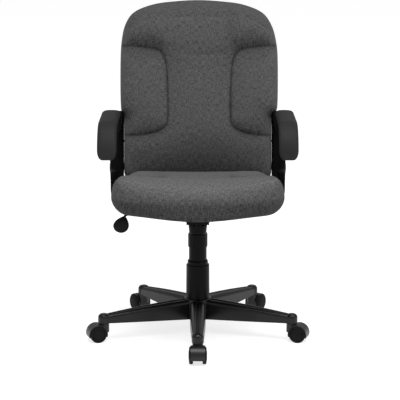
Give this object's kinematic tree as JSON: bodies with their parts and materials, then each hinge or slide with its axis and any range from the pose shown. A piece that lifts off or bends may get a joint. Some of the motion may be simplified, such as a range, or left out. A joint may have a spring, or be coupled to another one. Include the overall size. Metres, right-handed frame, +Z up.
{
  "type": "swivel office chair",
  "caption": "Upholstered swivel office chair with a star base on casters, gas height lift, tilting seat, loop arms and a bolstered back.",
  "frame": {"origin": "on the floor, on the column axis", "axes": "+Z up; the chair faces -Y; +X to the right seen from the front"},
  "size_m": [0.6428, 0.6302, 0.9481],
  "materials": {
    "base_nylon": "moulded black nylon, satin",
    "cover_plastic": "moulded black plastic, matt",
    "bare_steel": "zinc plated steel",
    "black_steel": "black powder coat",
    "bush_plastic": "natural acetal",
    "grip_plastic": "moulded black plastic, fine texture",
    "plywood": "beech plywood",
    "upholstery": "mid grey woven fabric over foam",
    "dust_cover": "black nonwoven cloth",
    "arm_nylon": "moulded black nylon, satin",
    "arm_pad": "soft moulded polyurethane, matt",
    "caster_nylon": "moulded black nylon, satin",
    "wheel_nylon": "moulded black nylon"
  },
  "bodies": {
    "base": {"five_star_base": "base_nylon", "hub_sleeve": "bare_steel", "column_tube": "black_steel", "column_bush": "bush_plastic", "thrust_bearing": "bare_steel", "cover_bottom": "cover_plastic", "caster_stems": "bare_steel"},
    "piston": {"piston_rod": "bare_steel", "rod_clip": "bare_steel"},
    "telescope_cover": {"cover_middle": "cover_plastic"},
    "lift": {"gas_cylinder": "black_steel", "cover_top": "cover_plastic", "mechanism_housing": "black_steel", "tilt_shaft": "bare_steel", "shaft_clips": "bare_steel", "tension_spring": "bare_steel"},
    "valve": {"valve_pin": "bare_steel"},
    "tilt_lock": {"lock_slider": "bush_plastic"},
    "lever": {"lever_rod": "black_steel", "lever_grip": "grip_plastic"},
    "seat": {"tilt_plate": "black_steel", "tension_bolt": "bare_steel", "mechanism_bolts": "black_steel", "t_nuts": "bare_steel", "seat_board": "plywood", "seat_underside_cover": "dust_cover", "seat_cushion": "upholstery", "arm_left": "arm_nylon", "arm_right": "arm_nylon", "armrest_pad_left": "arm_pad", "armrest_pad_right": "arm_pad", "arm_seat_bolts": "black_steel", "arm_back_bolts": "black_steel", "backrest_board": "plywood", "backrest_cushion": "upholstery", "backrest_rear_panel": "upholstery"},
    "tension_adjuster": {"tension_knob": "grip_plastic"},
    "caster_1": {"caster_hood_1": "caster_nylon", "caster_axle_1": "bare_steel"},
    "wheel_left_1": {"caster_wheel_left_1": "wheel_nylon"},
    "wheel_right_1": {"caster_wheel_right_1": "wheel_nylon"},
    "caster_2": {"caster_hood_2": "caster_nylon", "caster_axle_2": "bare_steel"},
    "wheel_left_2": {"caster_wheel_left_2": "wheel_nylon"},
    "wheel_right_2": {"caster_wheel_right_2": "wheel_nylon"},
    "caster_3": {"caster_hood_3": "caster_nylon", "caster_axle_3": "bare_steel"},
    "wheel_left_3": {"caster_wheel_left_3": "wheel_nylon"},
    "wheel_right_3": {"caster_wheel_right_3": "wheel_nylon"},
    "caster_4": {"caster_hood_4": "caster_nylon", "caster_axle_4": "bare_steel"},
    "wheel_left_4": {"caster_wheel_left_4": "wheel_nylon"},
    "wheel_right_4": {"caster_wheel_right_4": "wheel_nylon"},
    "caster_5": {"caster_hood_5": "caster_nylon", "caster_axle_5": "bare_steel"},
    "wheel_left_5": {"caster_wheel_left_5": "wheel_nylon"},
    "wheel_right_5": {"caster_wheel_right_5": "wheel_nylon"}
  },
  "joints": [
    {"name": "seat_swivel", "type": "hinge", "parent": "base", "child": "piston", "pos_m": [0, 0, 0.05], "axis": [0, 0, 1], "continuous": true},
    {"name": "seat_height", "type": "slide", "parent": "piston", "child": "lift", "axis": [0, 0, 1], "range_m": [-0.03, 0.07]},
    {"name": "cover_telescope", "type": "slide", "parent": "base", "child": "telescope_cover", "axis": [0, 0, 1], "range_m": [-0.015, 0.035]},
    {"name": "tilt_lock_slide", "type": "slide", "parent": "lift", "child": "tilt_lock", "axis": [-1, 0, 0], "range_m": [0, 0.01]},
    {"name": "height_lever", "type": "hinge", "parent": "tilt_lock", "child": "lever", "pos_m": [-0.0325, 0, 0.353], "axis": [0, 1, 0], "range_deg": [0, 3.5], "stiffness_Nm_per_rad": 4, "springref_deg": -6.88},
    {"name": "valve_press", "type": "slide", "parent": "lift", "child": "valve", "axis": [0, 0, -1], "range_m": [0, 0.003]},
    {"name": "seat_tilt", "type": "hinge", "parent": "lift", "child": "seat", "pos_m": [0, -0.028, 0.35], "axis": [-1, 0, 0], "range_deg": [0, 12], "stiffness_Nm_per_rad": 40, "springref_deg": -37.24, "deforming": ["tension_spring"]},
    {"name": "tension_adjust", "type": "hinge", "parent": "seat", "child": "tension_adjuster", "pos_m": [0, -0.08, 0.32], "axis": [0, 0, 1], "range_deg": [-1080, 1080]},
    {"name": "caster_swivel_1", "type": "hinge", "parent": "base", "child": "caster_1", "pos_m": [0, -0.283, 0.054], "axis": [0, 0, 1], "continuous": true},
    {"name": "wheel_roll_left_1", "type": "hinge", "parent": "caster_1", "child": "wheel_left_1", "pos_m": [0, -0.304, 0.024], "axis": [1, 0, 0], "continuous": true},
    {"name": "wheel_roll_right_1", "type": "hinge", "parent": "caster_1", "child": "wheel_right_1", "pos_m": [0, -0.304, 0.024], "axis": [1, 0, 0], "continuous": true},
    {"name": "caster_swivel_2", "type": "hinge", "parent": "base", "child": "caster_2", "pos_m": [0.26915, -0.08745, 0.054], "axis": [0, 0, 1], "continuous": true},
    {"name": "wheel_roll_left_2", "type": "hinge", "parent": "caster_2", "child": "wheel_left_2", "pos_m": [0.28912, -0.09394, 0.024], "axis": [0.309, 0.9511, 0], "continuous": true},
    {"name": "wheel_roll_right_2", "type": "hinge", "parent": "caster_2", "child": "wheel_right_2", "pos_m": [0.28912, -0.09394, 0.024], "axis": [0.309, 0.9511, 0], "continuous": true},
    {"name": "caster_swivel_3", "type": "hinge", "parent": "base", "child": "caster_3", "pos_m": [0.16634, 0.22895, 0.054], "axis": [0, 0, 1], "continuous": true},
    {"name": "wheel_roll_left_3", "type": "hinge", "parent": "caster_3", "child": "wheel_left_3", "pos_m": [0.17869, 0.24594, 0.024], "axis": [-0.809, 0.5878, 0], "continuous": true},
    {"name": "wheel_roll_right_3", "type": "hinge", "parent": "caster_3", "child": "wheel_right_3", "pos_m": [0.17869, 0.24594, 0.024], "axis": [-0.809, 0.5878, 0], "continuous": true},
    {"name": "caster_swivel_4", "type": "hinge", "parent": "base", "child": "caster_4", "pos_m": [-0.16634, 0.22895, 0.054], "axis": [0, 0, 1], "continuous": true},
    {"name": "wheel_roll_left_4", "type": "hinge", "parent": "caster_4", "child": "wheel_left_4", "pos_m": [-0.17869, 0.24594, 0.024], "axis": [-0.809, -0.5878, 0], "continuous": true},
    {"name": "wheel_roll_right_4", "type": "hinge", "parent": "caster_4", "child": "wheel_right_4", "pos_m": [-0.17869, 0.24594, 0.024], "axis": [-0.809, -0.5878, 0], "continuous": true},
    {"name": "caster_swivel_5", "type": "hinge", "parent": "base", "child": "caster_5", "pos_m": [-0.26915, -0.08745, 0.054], "axis": [0, 0, 1], "continuous": true},
    {"name": "wheel_roll_left_5", "type": "hinge", "parent": "caster_5", "child": "wheel_left_5", "pos_m": [-0.28912, -0.09394, 0.024], "axis": [0.309, -0.9511, 0], "continuous": true},
    {"name": "wheel_roll_right_5", "type": "hinge", "parent": "caster_5", "child": "wheel_right_5", "pos_m": [-0.28912, -0.09394, 0.024], "axis": [0.309, -0.9511, 0], "continuous": true}
  ],
  "couplings": [
    {"joint": "cover_telescope", "follows": "seat_height", "ratio": 0.5},
    {"joint": "valve_press", "follows": "height_lever", "m_per_rad": 0.033}
  ]
}
